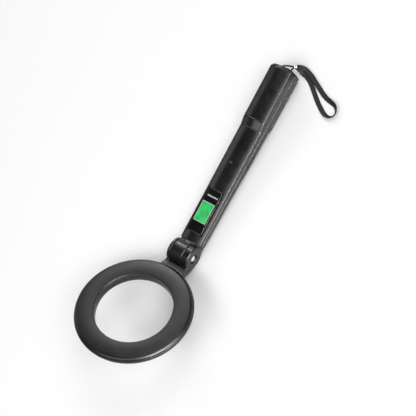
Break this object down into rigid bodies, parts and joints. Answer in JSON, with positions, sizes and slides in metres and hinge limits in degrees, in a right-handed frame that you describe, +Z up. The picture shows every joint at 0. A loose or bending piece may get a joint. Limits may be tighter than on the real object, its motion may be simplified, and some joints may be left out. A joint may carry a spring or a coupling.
{
  "type": "folding ring detector",
  "caption": "Folding hand-held metal detector: a round search ring hinged to a slim handle with a lit display, side button, battery door and wrist strap.",
  "frame": {"origin": "middle of the base of the part's box without the wrist strap, on the surface it rests on", "axes": "+Z up from the resting surface, +Y along the handle towards the butt, +X towards the hinge screw and side button"},
  "size_m": [0.1586, 0.4492, 0.0975],
  "materials": {
    "ring_plastic": "fine satin moulded black",
    "case_plastic": "satin moulded black",
    "hinge_plastic": "satin moulded black",
    "button_rubber": "matte",
    "window_gloss": "glossy smoked",
    "lcd": "backlit green",
    "lamp_red": "clear red",
    "steel_bright": "bright plated",
    "steel_screw": "zinc",
    "brass_washer": "plain",
    "copper": "enamelled winding",
    "bobbin": "natural",
    "board_green": "solder mask",
    "part_black": "moulded packages",
    "inner_plastic": "plain",
    "motor_metal": "can",
    "battery_wrap": null,
    "wire": "lead insulation",
    "wire_red": "lead insulation",
    "cord_black": "braided",
    "webbing_black": "woven"
  },
  "bodies": {
    "handle": {"friction_washers": "brass_washer", "hinge_barrel": "hinge_plastic", "front_shell": "case_plastic", "rear_shell": "case_plastic", "display_window": "window_gloss", "display_module": "lcd", "display_bezel": "inner_plastic", "main_board": "board_green", "board_chips": "part_black", "alarm_lamp": "lamp_red", "buzzer": "part_black", "vibration_motor": "motor_metal", "side_switch": "part_black", "board_screws": "steel_screw", "case_screws": "steel_screw", "butt_cap": "case_plastic", "battery": "battery_wrap", "battery_clip": "inner_plastic", "battery_leads": "wire_red", "handle_lead": "wire", "strap_cord": "cord_black", "strap_ferrule": "steel_bright", "strap_webbing": "webbing_black"},
    "head": {"ring_top_shell": "ring_plastic", "ring_bottom_shell": "ring_plastic", "search_coil": "copper", "coil_former": "bobbin", "ring_screws": "steel_screw", "neck_yoke": "hinge_plastic", "hinge_screw": "steel_bright", "hinge_nut": "steel_screw", "coil_lead": "wire"},
    "button": {"side_button": "button_rubber"},
    "door": {"battery_door": "case_plastic"}
  },
  "joints": [
    {"name": "head_fold", "type": "hinge", "parent": "handle", "child": "head", "pos_m": [0, -0.05766, 0.016], "axis": [-1, 0, 0], "range_deg": [-30.3, 120]},
    {"name": "button_press", "type": "slide", "parent": "handle", "child": "button", "axis": [-1, 0, 0], "range_m": [0, 0.001], "stiffness_N_per_m": 800, "springref_m": -0.001},
    {"name": "door_slide", "type": "slide", "parent": "handle", "child": "door", "axis": [0, 0.9989, 0.046], "range_m": [0, 0.006]}
  ]
}
